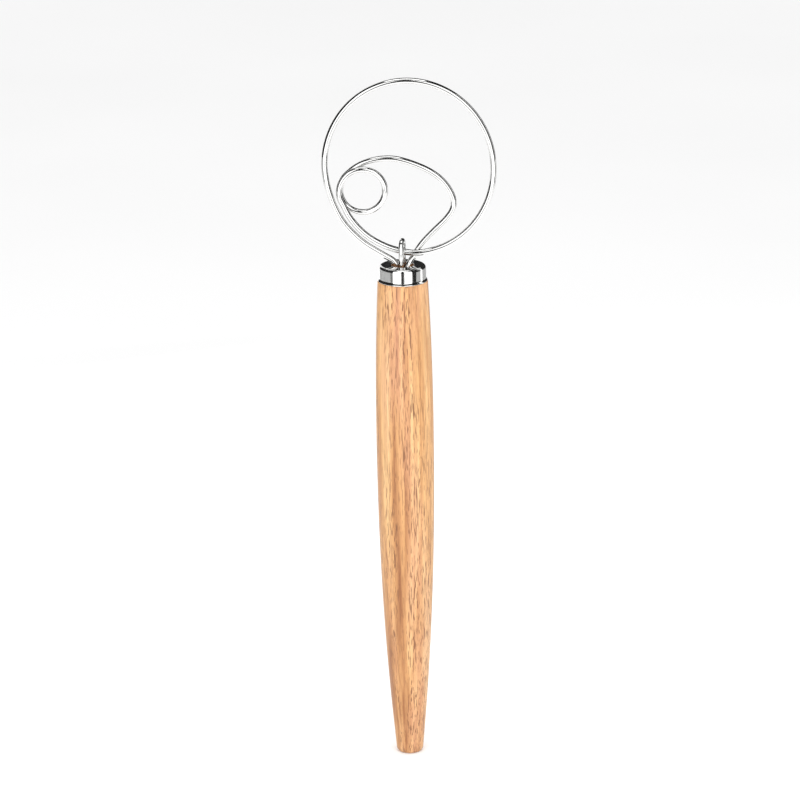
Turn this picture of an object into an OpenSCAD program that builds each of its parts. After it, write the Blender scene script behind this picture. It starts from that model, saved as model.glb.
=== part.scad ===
// Dough whisk: a turned wooden handle, a steel cap, and one steel wire bent into a ring,
// a small coil and a teardrop loop, held by a thin staple. Millimetres.
// Frame: origin at the middle of the handle's butt, +Z along the handle towards the ring,
// +X to the right seen from the front, +Y away from the viewer. The ring lies in the XZ plane.

/* [Handle] */
// Length of the wood that shows, butt to cap
handle_l = 247.7; // [200:0.5:300]
// Largest diameter, at the belly
belly_d = 28.5; // [26:0.1:34]
// Height of the belly above the butt
belly_z = 171; // [150:1:185]
// Diameter just under the cap
shoulder_d = 24.7; // [24.5:0.1:25.6]
// Diameter at the butt before its edge is rounded
butt_d = 13; // [11:0.1:18]
// Rounding of the butt's edge
butt_round = 1.5; // [0.8:0.1:3]
// Diameter of the bore that takes the wires
bore_d = 10.6; // [10.4:0.1:12]
// Depth of the bore from the wood's top
bore_depth = 45; // [40:1:70]

/* [Ferrule] */
// Height of the cap
ferrule_h = 8; // [6:0.1:12]
// Outer diameter of the cap
ferrule_d = 23; // [20:0.1:24]
// Diameter of the small lip at the cap's foot
lip_d = 24.4; // [24.1:0.1:25]
// Height of that lip
lip_h = 0.9; // [0.6:0.1:1.5]
// Sheet thickness of the cap
sheet = 0.6; // [0.4:0.05:0.8]
// Rounding of the cap's top edge
crown_r = 1.6; // [1:0.1:2.2]
// Diameter of the hole that the wires go through
hole_d = 11; // [10.9:0.1:13]

/* [Whisk wire] */
// Diameter of the wire
wire_d = 3; // [2.4:0.1:3]
// Width of the ring between wire centres, across its short axis
ring_w = 81.9; // [80:0.1:85]
// Height of the ring between wire centres, along its long axis
ring_h = 86.4; // [85:0.1:89]
// Diameter of the coil between wire centres
coil_d = 21.9; // [20:0.1:22.2]
// Space between neighbouring passes of the wire, front to back
pass_gap = 0.6; // [0.5:0.05:0.8]
// Distance of each wire end from the handle's axis
tang_x = 2.1; // [2:0.05:2.3]

/* [Staple] */
// Diameter of the staple's wire
staple_d = 2.5; // [2:0.1:2.5]
// Distance of each leg from the ring's plane
leg_y = 3.1; // [3.1:0.05:3.3]
// How far the staple is turned about the handle's axis
staple_turn = 10; // [0:1:15]

/* [Hidden] */
$fn = 72;
fit = 0.05;
// Wood
top_z = handle_l + ferrule_h;
wood_top = top_z - sheet - fit;
bore_z = wood_top - bore_depth;
spigot_d = ferrule_d - 2 * sheet - 2 * fit;
belly_r = belly_d / 2;
upper_power = 2;
lower_power = 2.2;
profile_steps = 16;
// Glue: it fills the bore up to the point where the wires start to bend
bend_depth = 10.5;
tang_grip = 28;
leg_grip = 24;
plug_top = top_z - bend_depth;
tang_z = plug_top - tang_grip;
leg_z = plug_top - leg_grip;
// Wire route, in [x, y, height over the cap's top]
pass = wire_d + pass_gap;
ring_c = [3.9, 48.9];
ring_lean = 105;
coil_c = [-18.9, 36.9];
coil_in = 215;
coil_out = -235;
coil_steps = 23;
coil_step = (coil_in - coil_out) / coil_steps;
coil_widening = 0.5;
back_y = pass * (coil_in - coil_out) / 360;
arch_h = 8.9;
sides = 12;
spans = 2;

// Radius of the wood at height z
function wood_r(z) = z > belly_z
    ? belly_r - (belly_d - shoulder_d) / 2 * pow((z - belly_z) / (handle_l - belly_z), upper_power)
    : belly_r - (belly_d - butt_d) / 2 * pow((belly_z - z) / belly_z, lower_power);

// Distance from the ring's middle to its wire, in direction a
function ring_r(a) = 1 / sqrt(pow(cos(a - ring_lean) / (ring_h / 2), 2)
    + pow(sin(a - ring_lean) / (ring_w / 2), 2));
function on_ring(a) = [ring_c.x + ring_r(a) * cos(a), 0, ring_c.y + ring_r(a) * sin(a)];

// The coil starts a little wider on its left and turns clockwise while it steps back
function coil_r(a) = coil_d / 2 + coil_widening * max(0, min(1, (a - 90) / 90));
function on_coil(a) = [
    coil_c.x + coil_r(a) * cos(a),
    pass * (coil_in - a) / 360,
    coil_c.y + coil_r(a) * sin(a)
];

// Out of the cap's hole and up the left side
rise = [
    [-tang_x, 0, tang_z - top_z], [-tang_x, 0, -24], [-tang_x, 0, -14], [-tang_x, 0, -9.5],
    [-tang_x, 0, -4.6], [-2.4, 0, -0.9], [-4.4, 0, 2], [-8.1, 0, 4.4], [-12.2, 0, 6.9],
    [-18.2, 0, 10.9], [-23.9, 0, 16.2], [-28.7, 0, 22.1], [-32.1, 0, 28.6], [-34.7, 0, 35.6],
    [-36.4, 0, 42.8]
];
// From the ring's bottom along the inside of the first wire, to the coil
inner = [[-3.6, 0, 7.8], [-10.2, 0, 10.5], [-16.3, 0, 14.3], [-21.4, 0, 19.1], [-25.6, 0, 24.8]];
// The teardrop: over the top, round its right corner, down behind the ring and into the hole
tear = [
    [-22.3, back_y, 48.1], [-18.4, back_y, 50.2], [-13.8, back_y, 51.6], [-8.4, back_y, 52.3],
    [-2.4, back_y, 52], [4.6, back_y, 50],
    [12.7, back_y, 46.4], [18.9, back_y, 42], [23.2, back_y, 36.6], [25.4, back_y, 31],
    [24.9, back_y, 26.2], [21.6, back_y, 21.4], [16, 4.4, 15.9], [10.9, 4.1, 10.7],
    [7.8, 3.6, 6.7], [5.6, 2.9, 3.3], [3.6, 1.6, 0.7], [2.5, 0.5, -2.4],
    [tang_x, 0, -6], [tang_x, 0, -9.5], [tang_x, 0, -14], [tang_x, 0, -24],
    [tang_x, 0, tang_z - top_z]
];
route = concat(rise, [for (a = [176:-12:-88]) on_ring(a)], inner,
    [for (i = [0:coil_steps]) on_coil(coil_in - i * coil_step)], tear);

// Smooth curve through the route's points
last = len(route) - 1;
function pt(i) = route[max(0, min(last, i))];
function curve(i, t) = 0.5 * (2 * pt(i) + (pt(i + 1) - pt(i - 1)) * t
    + (2 * pt(i - 1) - 5 * pt(i) + 4 * pt(i + 1) - pt(i + 2)) * t * t
    + (3 * pt(i) - pt(i - 1) - 3 * pt(i + 1) + pt(i + 2)) * t * t * t);
function curve_points(n) = concat([for (i = [0:last - 1], k = [0:n - 1]) curve(i, k / n)], [pt(last)]);

path = curve_points(spans);
rings = len(path);
function unit(v) = v / norm(v);
function along(i) = unit(path[min(rings - 1, i + 1)] - path[max(0, i - 1)]);
function across(i) = unit(cross(along(i), [0, 1, 0]));

// Least gap of the wire to itself, measured on points of the curve
fine = curve_points(3);
near = 14;
least_gap = min([for (i = [0:len(fine) - near - 1], j = [i + near:len(fine) - 1])
    norm(fine[i] - fine[j])]) - wire_d;
echo(least_gap_of_the_wire_to_itself_mm = least_gap);

// Turned wood with a spigot for the cap and a bore for the wires
module handle() {
    flat_r = butt_d / 2 - butt_round;
    color("burlywood") difference() {
        rotate_extrude() polygon(concat(
            [[0, 0]],
            [for (a = [0:15:75]) [flat_r + butt_round * sin(a), butt_round * (1 - cos(a))]],
            [for (i = [0:profile_steps]) let (z = butt_round + i * (belly_z - butt_round) / profile_steps)
                [wood_r(z), z]],
            [for (i = [1:profile_steps]) let (z = belly_z + i * (handle_l - belly_z) / profile_steps)
                [wood_r(z), z]],
            [[spigot_d / 2, handle_l], [spigot_d / 2, wood_top - crown_r],
                [spigot_d / 2 - crown_r, wood_top], [0, wood_top]]
        ));
        translate([0, 0, bore_z]) cylinder(d = bore_d, h = bore_depth + 1);
    }
}

// Half section of the cap's outside or inside, drawn from the axis
module cap_shape(r, h, round_r) {
    union() {
        square([r - round_r, h]);
        square([r, h - round_r]);
        intersection() {
            translate([r - round_r, h - round_r]) circle(r = round_r);
            square([r, h]);
        }
    }
}

// Drawn steel cap with a small lip at its foot
module ferrule() {
    color("silver") translate([0, 0, handle_l]) difference() {
        union() {
            rotate_extrude() cap_shape(ferrule_d / 2, ferrule_h, crown_r);
            cylinder(d = lip_d, h = lip_h);
        }
        translate([0, 0, -1]) rotate_extrude()
            cap_shape(ferrule_d / 2 - sheet, ferrule_h - sheet + 1, crown_r - sheet);
        cylinder(d = hole_d, h = ferrule_h + 1);
    }
}

// The one wire, as a tube along its curve
module whisk_wire() {
    color("gainsboro") translate([0, 0, top_z]) polyhedron(
        points = [for (i = [0:rings - 1], k = [0:sides - 1]) let (a = k * 360 / sides)
            path[i] + wire_d / 2 * (cos(a) * across(i) + sin(a) * cross(along(i), across(i)))],
        faces = concat(
            [[for (k = [0:sides - 1]) k]],
            [[for (k = [sides - 1:-1:0]) (rings - 1) * sides + k]],
            [for (i = [0:rings - 2], k = [0:sides - 1]) let (m = (k + 1) % sides)
                [i * sides + k, (i + 1) * sides + k, (i + 1) * sides + m]],
            [for (i = [0:rings - 2], k = [0:sides - 1]) let (m = (k + 1) % sides)
                [i * sides + k, (i + 1) * sides + m, i * sides + m]]
        )
    );
}

// U of thinner wire over the ring's bottom
module eye_staple() {
    arch_z = top_z + arch_h;
    color("silver") rotate([0, 0, 90 - staple_turn]) union() {
        translate([0, 0, arch_z]) rotate([90, 0, 0])
            rotate_extrude(angle = 180) translate([leg_y, 0]) circle(d = staple_d);
        for (side = [-1, 1])
            translate([side * leg_y, 0, leg_z]) cylinder(d = staple_d, h = arch_z - leg_z);
    }
}

// Cured glue in the bore, with the channels that the wires and legs fill
module adhesive_plug() {
    plug_z = bore_z + fit;
    color("khaki") difference() {
        translate([0, 0, plug_z]) cylinder(d = bore_d - 2 * fit, h = plug_top - plug_z);
        for (side = [-1, 1])
            translate([side * tang_x, 0, tang_z - fit]) cylinder(d = wire_d + 2 * fit, h = bore_depth);
        for (side = [-1, 1])
            rotate([0, 0, 90 - staple_turn]) translate([side * leg_y, 0, leg_z - fit])
                cylinder(d = staple_d + 2 * fit, h = bore_depth);
    }
}

handle();
ferrule();
whisk_wire();
eye_staple();
adhesive_plug();
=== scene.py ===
"""Dough whisk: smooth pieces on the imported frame, procedural materials, a pale floor and studio light."""
import math

import bpy
from mathutils import Matrix, Vector


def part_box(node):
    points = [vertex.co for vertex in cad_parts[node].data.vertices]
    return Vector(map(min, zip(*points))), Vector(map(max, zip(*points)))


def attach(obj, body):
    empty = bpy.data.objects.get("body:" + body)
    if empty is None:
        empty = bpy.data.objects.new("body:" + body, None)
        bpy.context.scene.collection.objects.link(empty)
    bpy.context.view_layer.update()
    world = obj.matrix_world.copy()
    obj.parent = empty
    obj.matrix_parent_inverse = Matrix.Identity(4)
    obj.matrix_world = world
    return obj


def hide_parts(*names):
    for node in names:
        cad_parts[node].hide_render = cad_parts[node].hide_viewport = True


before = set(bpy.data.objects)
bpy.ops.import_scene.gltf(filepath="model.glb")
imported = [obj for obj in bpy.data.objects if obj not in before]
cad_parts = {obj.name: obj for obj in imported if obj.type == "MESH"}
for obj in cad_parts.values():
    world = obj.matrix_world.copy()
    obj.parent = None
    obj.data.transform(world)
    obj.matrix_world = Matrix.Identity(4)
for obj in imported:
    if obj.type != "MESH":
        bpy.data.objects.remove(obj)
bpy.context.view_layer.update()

MM = 0.001
# Clearance between fitted pieces, as in the part's source
FIT = 0.05 * MM

# Camera, solved from the photograph: distance, tilt, lean and focal length in pixels
CAMERA_DISTANCE = 2.0
CAMERA_TILT = math.radians(17.5)
CAMERA_LEAN = math.radians(0.93)
FOCAL_PX = 4043
IMAGE_SIDE_PX = 800
SENSOR_MM = 36
CAMERA_TARGET = Vector((-2.27, 0, 186.17)) * MM

# Sizes that the frame gives
handle_low, handle_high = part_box("handle")
ferrule_low, ferrule_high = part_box("ferrule")
plug_low, plug_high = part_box("adhesive_plug")
TOP_Z = ferrule_high[2]
HANDLE_L = ferrule_low[2]
WOOD_TOP = handle_high[2]
BELLY_R = (handle_high[0] - handle_low[0]) / 2
LIP_R = (ferrule_high[0] - ferrule_low[0]) / 2
BORE_R = (plug_high[0] - plug_low[0]) / 2 + FIT

# Sizes that the part's source names, in metres and radians
BELLY_Z = 171 * MM
SHOULDER_R = 12.35 * MM
BUTT_R = 6.5 * MM
BUTT_ROUND = 1.5 * MM
UPPER_POWER, LOWER_POWER = 2, 2.2
FERRULE_R = 11.5 * MM
LIP_H = 0.9 * MM
SHEET = 0.6 * MM
CROWN_R = 1.6 * MM
HOLE_R = 5.5 * MM
BORE_DEPTH = 45 * MM
WIRE_R = 1.5 * MM
STAPLE_R = 1.25 * MM
LEG_Y = 3.1 * MM
STAPLE_TURN = math.radians(10)
ARCH_H = 8.9 * MM

# Fine edges, which only the smooth pieces have
SHOULDER_EDGE = 0.35 * MM
LIP_EDGE = 0.3 * MM
NECK_LIFT = 0.75 * MM

# How finely the smooth pieces are divided
LATHE_SEGMENTS = 128
WOOD_RINGS = 90
WIRE_SIDES, WIRE_SPANS = 28, 8
STAPLE_SIDES, ARCH_STEPS = 24, 28
NO_RADIUS = 1e-7

# The wire's route, as in the part's source, in millimetres over the cap's top and in degrees
RING_W, RING_H, RING_LEAN = 81.9, 86.4, 105
RING_C = (3.9, 48.9)
RING_START, RING_END, RING_STEP = 176, -88, -12
COIL_C, COIL_R = (-18.9, 36.9), 10.95
COIL_IN, COIL_OUT, COIL_STEPS = 215, -235, 23
COIL_WIDENING, WIDENING_START, WIDENING_SPAN = 0.5, 90, 90
PASS = 3.6
BACK_Y = PASS * (COIL_IN - COIL_OUT) / 360
TANG_X = 2.1
TANG_LOW = -38.5
# Out of the cap's hole and up the left side
RISE = [
    (-TANG_X, 0, TANG_LOW), (-TANG_X, 0, -24), (-TANG_X, 0, -14), (-TANG_X, 0, -9.5),
    (-TANG_X, 0, -4.6), (-2.4, 0, -0.9), (-4.4, 0, 2), (-8.1, 0, 4.4), (-12.2, 0, 6.9),
    (-18.2, 0, 10.9), (-23.9, 0, 16.2), (-28.7, 0, 22.1), (-32.1, 0, 28.6), (-34.7, 0, 35.6),
    (-36.4, 0, 42.8),
]
# From the ring's bottom along the inside of the first wire, to the coil
INNER = [(-3.6, 0, 7.8), (-10.2, 0, 10.5), (-16.3, 0, 14.3), (-21.4, 0, 19.1), (-25.6, 0, 24.8)]
# The teardrop: over the top, round its right corner, down behind the ring and into the hole
TEAR = [
    (-22.3, BACK_Y, 48.1), (-18.4, BACK_Y, 50.2), (-13.8, BACK_Y, 51.6), (-8.4, BACK_Y, 52.3),
    (-2.4, BACK_Y, 52), (4.6, BACK_Y, 50),
    (12.7, BACK_Y, 46.4), (18.9, BACK_Y, 42), (23.2, BACK_Y, 36.6), (25.4, BACK_Y, 31),
    (24.9, BACK_Y, 26.2), (21.6, BACK_Y, 21.4), (16, 4.4, 15.9), (10.9, 4.1, 10.7),
    (7.8, 3.6, 6.7), (5.6, 2.9, 3.3), (3.6, 1.6, 0.7), (2.5, 0.5, -2.4),
    (TANG_X, 0, -6), (TANG_X, 0, -9.5), (TANG_X, 0, -14), (TANG_X, 0, -24), (TANG_X, 0, TANG_LOW),
]

# Finishes: a ramp lists each tone after its place, and scratches are noise cells a metre on X, Y and Z
BLACK, WHITE = (0, 0, 0), (1, 1, 1)
GRAIN_LEAN = 1.2
WOOD_RAMP = [(0.3, (0.4, 0.172, 0.062)), (0.45, (0.57, 0.29, 0.113)),
             (0.55, (0.68, 0.38, 0.16)), (0.7, (0.78, 0.5, 0.24))]
STREAK_TONE = (0.62, 0.5, 0.42)
PINK_TONE = (0.66, 0.33, 0.22, 1)
PORE_TONE = (0.17, 0.065, 0.025, 1)
FEW_PORES = (0.2, 0.2, 0.2)
CAP_TINT, CAP_ROUGHNESS, CAP_SCRATCHES = (0.83, 0.83, 0.82), 0.05, (300, 300, 60)
WIRE_TINT, WIRE_ROUGHNESS, WIRE_SCRATCHES = (0.8, 0.8, 0.79), 0.08, (250, 250, 250)
STAPLE_ROUGHNESS = 0.1
GLUE_RAMP = [(0.3, (0.2, 0.13, 0.06)), (0.7, (0.3, 0.2, 0.1))]
FLOOR_RAMP = [(0.3, (0.9, 0.9, 0.9)), (0.7, (0.92, 0.92, 0.92))]

# Stage, in metres, watts and degrees from the camera's side
FLOOR_REACH = 12
PANEL_DISTANCE, PANEL_MIDDLE, PANEL_HEIGHT = 0.6, 0.42, 0.8
# Each standing panel's name, azimuth, width and power
STANDING_PANELS = [("panel_left", -28, 0.44, 1.9), ("panel_right", 27, 0.42, 1.7),
                   ("panel_side", 105, 0.14, 0.5), ("panel_back", 200, 0.2, 0.5)]
SURROUND_R, SURROUND_SEGMENTS = 0.75, 72
# Where the grey foot starts, where it ends and where the lid lies
SURROUND_HEIGHTS = (0.002, 0.2, 1.6)
BLACK_STRIPS = ((-62, -54), (-3, 3), (51, 68))
CLOTH_SHADE, CARD_SHADE = 0.012, 0.42

# The colour sockets of a mix node, by number because their names repeat
MIX_FACTOR, MIX_FIRST, MIX_SECOND, MIX_RESULT = 0, 6, 7, 2


def ring_point(degrees):
    """A point of the ring, an ellipse whose long axis leans."""
    turn = math.radians(degrees - RING_LEAN)
    radius = 1 / math.hypot(math.cos(turn) / (RING_H / 2), math.sin(turn) / (RING_W / 2))
    angle = math.radians(degrees)
    return (RING_C[0] + radius * math.cos(angle), 0, RING_C[1] + radius * math.sin(angle))


def coil_point(degrees):
    """A point of the coil, which starts a little wider and steps back as it turns clockwise."""
    widened = max(0, min(1, (degrees - WIDENING_START) / WIDENING_SPAN))
    radius = COIL_R + COIL_WIDENING * widened
    angle = math.radians(degrees)
    back = PASS * (COIL_IN - degrees) / 360
    return (COIL_C[0] + radius * math.cos(angle), back, COIL_C[1] + radius * math.sin(angle))


def smooth_curve(points, spans):
    """Points of the smooth curve through the given ones, with so many spans between two of them."""
    padded = [points[0]] + points + [points[-1]]
    out = []
    for i in range(len(points) - 1):
        p0, p1, p2, p3 = padded[i:i + 4]
        for k in range(spans):
            t = k / spans
            out.append(0.5 * (2 * p1 + (p2 - p0) * t + (2 * p0 - 5 * p1 + 4 * p2 - p3) * t * t
                              + (3 * p1 - p0 - 3 * p2 + p3) * t ** 3))
    return out + [points[-1]]


def add_mesh(name, verts, faces):
    mesh = bpy.data.meshes.new(name)
    mesh.from_pydata(verts, [], faces)
    mesh.validate()
    mesh.polygons.foreach_set("use_smooth", [True] * len(mesh.polygons))
    obj = bpy.data.objects.new(name, mesh)
    bpy.context.collection.objects.link(obj)
    return obj


def row(number, count):
    """Vertex numbers of one row, where each row has count vertices."""
    return range(number * count, (number + 1) * count)


def band(low, high):
    """Faces between two rows of vertex numbers that each close to a circle."""
    count = len(low)
    return [(low[k], low[(k + 1) % count], high[(k + 1) % count], high[k]) for k in range(count)]


def forward_at(path, i):
    """Unit vector along the path at its point i."""
    return (path[min(len(path) - 1, i + 1)] - path[max(0, i - 1)]).normalized()


def tube(name, path, radius, across, sides):
    """A round tube along path with flat ends. across holds a unit vector square to the path per point."""
    verts = []
    for i, (point, side) in enumerate(zip(path, across)):
        other = forward_at(path, i).cross(side)
        for k in range(sides):
            angle = 2 * math.pi * k / sides
            verts.append(point + radius * (math.cos(angle) * side + math.sin(angle) * other))
    last = len(path) - 1
    faces = [face for i in range(last) for face in band(row(i, sides), row(i + 1, sides))]
    faces += [tuple(reversed(row(0, sides))), tuple(row(last, sides))]
    return add_mesh(name, verts, faces)


def lathe(name, profile):
    """A profile of (radius, height) turned about Z: from pole to pole, or a closed ring.

    It is a ring where the first point lies off the axis. A point on the axis becomes a pole.
    """
    verts, rows = [], []
    for radius, z in profile:
        if radius < NO_RADIUS:
            rows.append([len(verts)] * LATHE_SEGMENTS)
            verts.append((0, 0, z))
            continue
        rows.append(list(range(len(verts), len(verts) + LATHE_SEGMENTS)))
        for k in range(LATHE_SEGMENTS):
            angle = 2 * math.pi * k / LATHE_SEGMENTS
            verts.append((radius * math.cos(angle), radius * math.sin(angle), z))
    neighbours = list(zip(rows, rows[1:]))
    if profile[0][0] > NO_RADIUS:
        neighbours.append((rows[-1], rows[0]))
    faces = []
    for low, high in neighbours:
        for corners in band(low, high):
            face = list(dict.fromkeys(corners))
            if len(face) > 2:
                faces.append(face)
    return add_mesh(name, verts, faces)


def arc(centre_r, centre_z, radius, start, end, steps):
    """Profile points on an arc, from start to end in degrees."""
    angles = [math.radians(start + (end - start) * i / steps) for i in range(steps + 1)]
    return [(centre_r + radius * math.cos(a), centre_z + radius * math.sin(a)) for a in angles]


def wood_radius(z):
    """Radius of the wood at height z, largest at the belly."""
    if z > BELLY_Z:
        share = (z - BELLY_Z) / (HANDLE_L - BELLY_Z)
        return BELLY_R - (BELLY_R - SHOULDER_R) * share ** UPPER_POWER
    return BELLY_R - (BELLY_R - BUTT_R) * ((BELLY_Z - z) / BELLY_Z) ** LOWER_POWER


def make_handle():
    """The turned wood with its spigot in the cap and its bore for the glue."""
    spigot_r = FERRULE_R - SHEET - FIT
    edge_z = HANDLE_L - SHOULDER_EDGE
    bore_z = WOOD_TOP - BORE_DEPTH
    profile = [(0, 0)]
    profile += arc(BUTT_R - BUTT_ROUND, BUTT_ROUND, BUTT_ROUND, start=-90, end=-10, steps=10)
    for i in range(WOOD_RINGS + 1):
        z = BUTT_ROUND + (edge_z - BUTT_ROUND) * i / WOOD_RINGS
        profile.append((wood_radius(z), z))
    profile += arc(wood_radius(HANDLE_L) - SHOULDER_EDGE, edge_z, SHOULDER_EDGE, start=20, end=90, steps=4)
    profile += [(spigot_r, HANDLE_L), (spigot_r, WOOD_TOP - CROWN_R), (spigot_r - CROWN_R, WOOD_TOP),
                (BORE_R, WOOD_TOP), (BORE_R, bore_z), (0, bore_z)]
    return lathe("turned_handle", profile)


def make_ferrule():
    """The pressed cap: lip, wall, crown, the hole's round edge, and back down its inside."""
    inner_r = FERRULE_R - SHEET
    crown_z = TOP_Z - CROWN_R
    neck_z = HANDLE_L + LIP_H + NECK_LIFT
    inner_crown = CROWN_R - SHEET
    profile = [(inner_r, HANDLE_L), (LIP_R - LIP_EDGE, HANDLE_L)]
    profile += arc(LIP_R - LIP_EDGE, HANDLE_L + LIP_EDGE, LIP_EDGE, start=-90, end=60, steps=5)
    profile += arc(FERRULE_R + LIP_H, neck_z, LIP_H, start=235, end=180, steps=5)
    profile += arc(FERRULE_R - CROWN_R, crown_z, CROWN_R, start=0, end=90, steps=10)
    profile += arc(HOLE_R + SHEET / 2, TOP_Z - SHEET / 2, SHEET / 2, start=90, end=270, steps=8)
    profile += arc(inner_r - inner_crown, crown_z, inner_crown, start=90, end=0, steps=6)
    return lathe("polished_cap", profile)


def square_to_depth(forward):
    """Unit vector square to forward and to the Y axis, or +X where forward runs along Y."""
    side = forward.cross(Vector((0, 1, 0)))
    return side.normalized() if side.length > 0.01 else Vector((1, 0, 0))


def make_wire():
    """The one wire: up out of the hole, round the ring, the coil and the teardrop, and back down."""
    coil_step = (COIL_IN - COIL_OUT) / COIL_STEPS
    route = RISE + [ring_point(a) for a in range(RING_START, RING_END - 1, RING_STEP)] + INNER
    route += [coil_point(COIL_IN - i * coil_step) for i in range(COIL_STEPS + 1)] + TEAR
    points = [Vector(place) * MM + Vector((0, 0, TOP_Z)) for place in route]
    path = smooth_curve(points, WIRE_SPANS)
    across = [square_to_depth(forward_at(path, i)) for i in range(len(path))]
    return tube("bent_wire", path, WIRE_R, across, WIRE_SIDES)


def make_staple():
    """The U over the ring's bottom wire: two straight legs and a half circle."""
    leg_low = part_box("eye_staple")[0][2]
    arch_z = TOP_Z + ARCH_H
    outward = Vector((math.sin(STAPLE_TURN), math.cos(STAPLE_TURN), 0))
    flat_side = Vector((math.cos(STAPLE_TURN), -math.sin(STAPLE_TURN), 0))
    foot = Vector((0, 0, leg_low))
    path = [foot - LEG_Y * outward]
    for i in range(ARCH_STEPS + 1):
        angle = math.pi * (1 - i / ARCH_STEPS)
        rise = Vector((0, 0, arch_z + LEG_Y * math.sin(angle)))
        path.append(LEG_Y * math.cos(angle) * outward + rise)
    path.append(foot + LEG_Y * outward)
    return tube("bent_staple", path, STAPLE_R, [flat_side] * len(path), STAPLE_SIDES)


class Nodes:
    """A material or world node tree, with short calls to add and join its nodes."""

    def __init__(self, tree):
        self.tree = tree
        self.tree.nodes.clear()

    def add(self, kind, **values):
        node = self.tree.nodes.new(kind)
        for key, value in values.items():
            setattr(node, key, value)
        return node

    def join(self, out_socket, in_socket):
        self.tree.links.new(out_socket, in_socket)

    def feed(self, value, socket):
        """A number or tuple sets the socket, and another node's output is joined to it."""
        if isinstance(value, (float, tuple)):
            socket.default_value = value
        else:
            self.join(value, socket)

    def stretched(self, scale, lean):
        """Row-frame coordinates, scaled per axis, with the grain leaned by some degrees."""
        coords = self.add("ShaderNodeTexCoord")
        mapping = self.add("ShaderNodeMapping")
        mapping.inputs["Rotation"].default_value = (0, math.radians(lean), 0)
        mapping.inputs["Scale"].default_value = scale
        self.join(coords.outputs["Object"], mapping.inputs["Vector"])
        return mapping.outputs["Vector"]

    def noise(self, scale, lean=0.0, detail=3.0):
        node = self.add("ShaderNodeTexNoise")
        node.inputs["Scale"].default_value = 1
        node.inputs["Detail"].default_value = detail
        self.join(self.stretched(scale, lean), node.inputs["Vector"])
        return node.outputs["Fac"]

    def grain(self, across, along, detail=3.0):
        """Noise with so many cells a metre across the wood's grain and along it."""
        return self.noise((across, across, along), GRAIN_LEAN, detail)

    def ramp(self, value, stops):
        node = self.add("ShaderNodeValToRGB")
        elements = node.color_ramp.elements
        while len(elements) < len(stops):
            elements.new(0.5)
        for element, (place, colour) in zip(elements, stops):
            element.position = place
            element.color = (*colour, 1)
        self.join(value, node.inputs["Fac"])
        return node.outputs["Color"]

    def blend(self, factor, first, second, mode="MIX"):
        node = self.add("ShaderNodeMix", data_type="RGBA", blend_type=mode)
        self.feed(factor, node.inputs[MIX_FACTOR])
        self.feed(first, node.inputs[MIX_FIRST])
        self.feed(second, node.inputs[MIX_SECOND])
        return node.outputs[MIX_RESULT]

    def compute(self, operation, first, second):
        node = self.add("ShaderNodeMath", operation=operation)
        self.feed(first, node.inputs[0])
        self.feed(second, node.inputs[1])
        return node.outputs[0]

    def bump(self, height, strength, distance):
        node = self.add("ShaderNodeBump")
        node.inputs["Strength"].default_value = strength
        node.inputs["Distance"].default_value = distance
        self.join(height, node.inputs["Height"])
        return node.outputs["Normal"]

    def surface(self, **values):
        """The finish, with sockets named as in Base_Color, Roughness, Metallic and Normal."""
        shader = self.add("ShaderNodeBsdfPrincipled")
        for key, value in values.items():
            self.feed(value, shader.inputs[key.replace("_", " ")])
        out = self.add("ShaderNodeOutputMaterial")
        self.join(shader.outputs[0], out.inputs["Surface"])


def new_material(name):
    material = bpy.data.materials.new(name)
    material.use_nodes = True
    return material, Nodes(material.node_tree)


def wood_material():
    """Oiled wood: broad tones, dark streaks, a pink cast in places, and short pores in zones."""
    streak_share, pink_share, pore_share = 0.8, 0.3, 0.85
    rough_base, rough_spread = 0.36, 0.15
    bump_strength, bump_depth = 0.25, 0.12 * MM
    material, n = new_material("oiled_wood")
    broad = n.grain(150, 5)
    streak = n.ramp(n.grain(620, 12, detail=4), [(0.34, STREAK_TONE), (0.6, WHITE)])
    colour = n.blend(streak_share, n.ramp(broad, WOOD_RAMP), streak, "MULTIPLY")
    pink = n.ramp(n.grain(90, 9), [(0.48, BLACK), (0.66, WHITE)])
    colour = n.blend(n.compute("MULTIPLY", pink, pink_share), colour, PINK_TONE)
    coarse_pores = n.ramp(n.grain(1500, 95, detail=1), [(0.6, BLACK), (0.66, WHITE)])
    fine_pores = n.ramp(n.grain(2900, 170, detail=1), [(0.6, BLACK), (0.65, WHITE)])
    pores = n.compute("MAXIMUM", coarse_pores, fine_pores)
    zones = n.ramp(n.grain(110, 7, detail=2), [(0.38, FEW_PORES), (0.55, WHITE)])
    dashes = n.compute("MULTIPLY", pores, zones)
    colour = n.blend(n.compute("MULTIPLY", dashes, pore_share), colour, PORE_TONE)
    height = n.compute("SUBTRACT", n.grain(900, 16), dashes)
    rough = n.compute("ADD", n.compute("MULTIPLY", broad, rough_spread), rough_base)
    n.surface(Base_Color=colour, Roughness=rough, Normal=n.bump(height, bump_strength, bump_depth))
    return material


def steel_material(name, tint, roughness, scratches):
    """Polished steel with a faint cloud in its tone and roughness, and fine scratches."""
    rough_spread, dark_share, fineness = 0.06, 0.93, 2.5
    bump_strength, bump_depth = 0.04, 0.05 * MM
    material, n = new_material(name)
    cloud = n.noise(scratches)
    rough = n.compute("ADD", n.compute("MULTIPLY", cloud, rough_spread), roughness)
    colour = n.ramp(cloud, [(0.3, tuple(dark_share * c for c in tint)), (0.7, tint)])
    fine = n.noise(tuple(fineness * s for s in scratches), detail=2)
    relief = n.bump(fine, bump_strength, bump_depth)
    n.surface(Base_Color=colour, Metallic=1.0, Roughness=rough, Normal=relief)
    return material


def glue_material():
    material, n = new_material("cured_glue")
    cloud = n.noise((400, 400, 400))
    relief = n.bump(cloud, strength=0.2, distance=0.2 * MM)
    n.surface(Base_Color=n.ramp(cloud, GLUE_RAMP), Roughness=0.45, Normal=relief)
    return material


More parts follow.
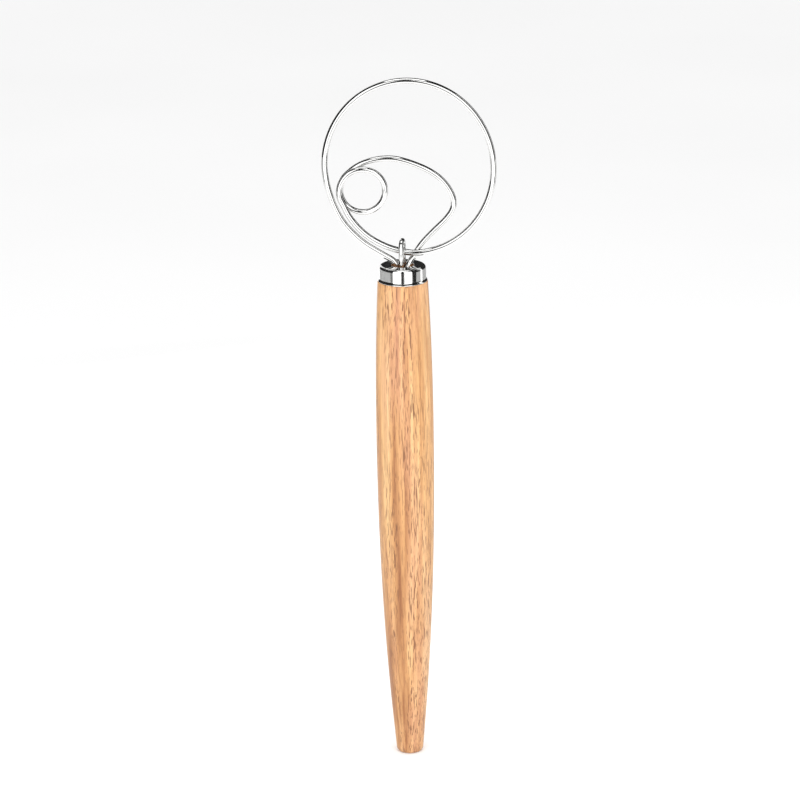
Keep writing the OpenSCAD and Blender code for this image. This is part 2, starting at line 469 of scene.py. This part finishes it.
def floor_material():
    material, n = new_material("pale_floor")
    n.surface(Base_Color=n.ramp(n.noise((3, 3, 3), detail=2), FLOOR_RAMP), Roughness=0.9)
    return material


def matte_material(name, shade):
    material, n = new_material(name)
    n.surface(Base_Color=(shade, shade, shade, 1), Roughness=1.0)
    return material


def add_camera():
    back = Vector((0, -math.cos(CAMERA_TILT), math.sin(CAMERA_TILT)))
    up = Vector((0, math.sin(CAMERA_TILT), math.cos(CAMERA_TILT)))
    right = Vector((1, 0, 0))
    leaned_right = math.cos(CAMERA_LEAN) * right - math.sin(CAMERA_LEAN) * up
    leaned_up = math.sin(CAMERA_LEAN) * right + math.cos(CAMERA_LEAN) * up
    data = bpy.data.cameras.new("camera")
    data.sensor_width = SENSOR_MM
    data.lens = FOCAL_PX / IMAGE_SIDE_PX * SENSOR_MM
    camera = bpy.data.objects.new("camera", data)
    bpy.context.collection.objects.link(camera)
    turn = Matrix((leaned_right, leaned_up, back)).transposed().to_4x4()
    camera.matrix_world = Matrix.Translation(CAMERA_TARGET + back * CAMERA_DISTANCE) @ turn
    bpy.context.scene.camera = camera


def add_panel(name, azimuth, distance, centre_z, width, height, power):
    """A soft light that aims at the handle's axis, no higher than the cap's top."""
    angle = math.radians(azimuth)
    place = Vector((distance * math.sin(angle), -distance * math.cos(angle), centre_z))
    data = bpy.data.lights.new(name, "AREA")
    data.shape = "RECTANGLE"
    data.size = width
    data.size_y = height
    data.energy = power
    light = bpy.data.objects.new(name, data)
    bpy.context.collection.objects.link(light)
    aim = Vector((0, 0, min(centre_z, TOP_Z))) - place
    light.location = place
    light.rotation_euler = aim.to_track_quat("-Z", "Y").to_euler()
    light.visible_camera = False


def add_surround():
    """A wall and lid that only reflections see: a grey foot with thin black strips, black above."""
    segments = SURROUND_SEGMENTS
    verts = []
    for z in SURROUND_HEIGHTS:
        for k in range(segments):
            angle = 2 * math.pi * k / segments
            verts.append((SURROUND_R * math.sin(angle), -SURROUND_R * math.cos(angle), z))
    foot = band(row(0, segments), row(1, segments))
    upper = band(row(1, segments), row(2, segments))
    lid = tuple(row(2, segments))
    wall = add_mesh("dark_surround", verts, foot + upper + [lid])
    wall.data.materials.append(matte_material("dark_cloth", CLOTH_SHADE))
    wall.data.materials.append(matte_material("grey_card", CARD_SHADE))
    for face in wall.data.polygons[:segments]:
        azimuth = math.degrees(math.atan2(face.center.x, -face.center.y))
        in_strip = any(low < azimuth < high for low, high in BLACK_STRIPS)
        face.material_index = 0 if in_strip else 1
    for ray in ("visible_camera", "visible_diffuse", "visible_shadow", "visible_transmission"):
        setattr(wall, ray, False)


def add_floor():
    corners = [(x * FLOOR_REACH, y * FLOOR_REACH, 0) for x, y in ((-1, -1), (1, -1), (1, 1), (-1, 1))]
    floor = add_mesh("floor", corners, [(0, 1, 2, 3)])
    floor.data.materials.append(floor_material())


def add_world():
    world = bpy.data.worlds.new("studio")
    world.use_nodes = True
    n = Nodes(world.node_tree)
    background = n.add("ShaderNodeBackground")
    background.inputs["Color"].default_value = (1, 1, 1, 1)
    background.inputs["Strength"].default_value = 1.0
    n.join(background.outputs[0], n.add("ShaderNodeOutputWorld").inputs["Surface"])
    bpy.context.scene.world = world
    bpy.context.scene.view_settings.view_transform = "Standard"


def add_stage():
    add_floor()
    add_surround()
    for name, azimuth, width, power in STANDING_PANELS:
        add_panel(name, azimuth, PANEL_DISTANCE, PANEL_MIDDLE, width, PANEL_HEIGHT, power)
    add_panel("panel_top", azimuth=0, distance=0.05, centre_z=1.1, width=0.5, height=0.5, power=1.6)
    add_world()


def dress(piece, node, material):
    """The piece takes a CAD node's place, rides on the one body and gets its finish."""
    piece.data.materials.append(material)
    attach(piece, "root")
    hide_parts(node)


add_camera()
dress(make_handle(), "handle", wood_material())
cap_steel = steel_material("cap_steel", CAP_TINT, CAP_ROUGHNESS, CAP_SCRATCHES)
dress(make_ferrule(), "ferrule", cap_steel)
wire_steel = steel_material("wire_steel", WIRE_TINT, WIRE_ROUGHNESS, WIRE_SCRATCHES)
dress(make_wire(), "whisk_wire", wire_steel)
staple_steel = steel_material("staple_steel", WIRE_TINT, STAPLE_ROUGHNESS, WIRE_SCRATCHES)
dress(make_staple(), "eye_staple", staple_steel)
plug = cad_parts["adhesive_plug"]
plug.data.materials.clear()
plug.data.materials.append(glue_material())
add_stage()
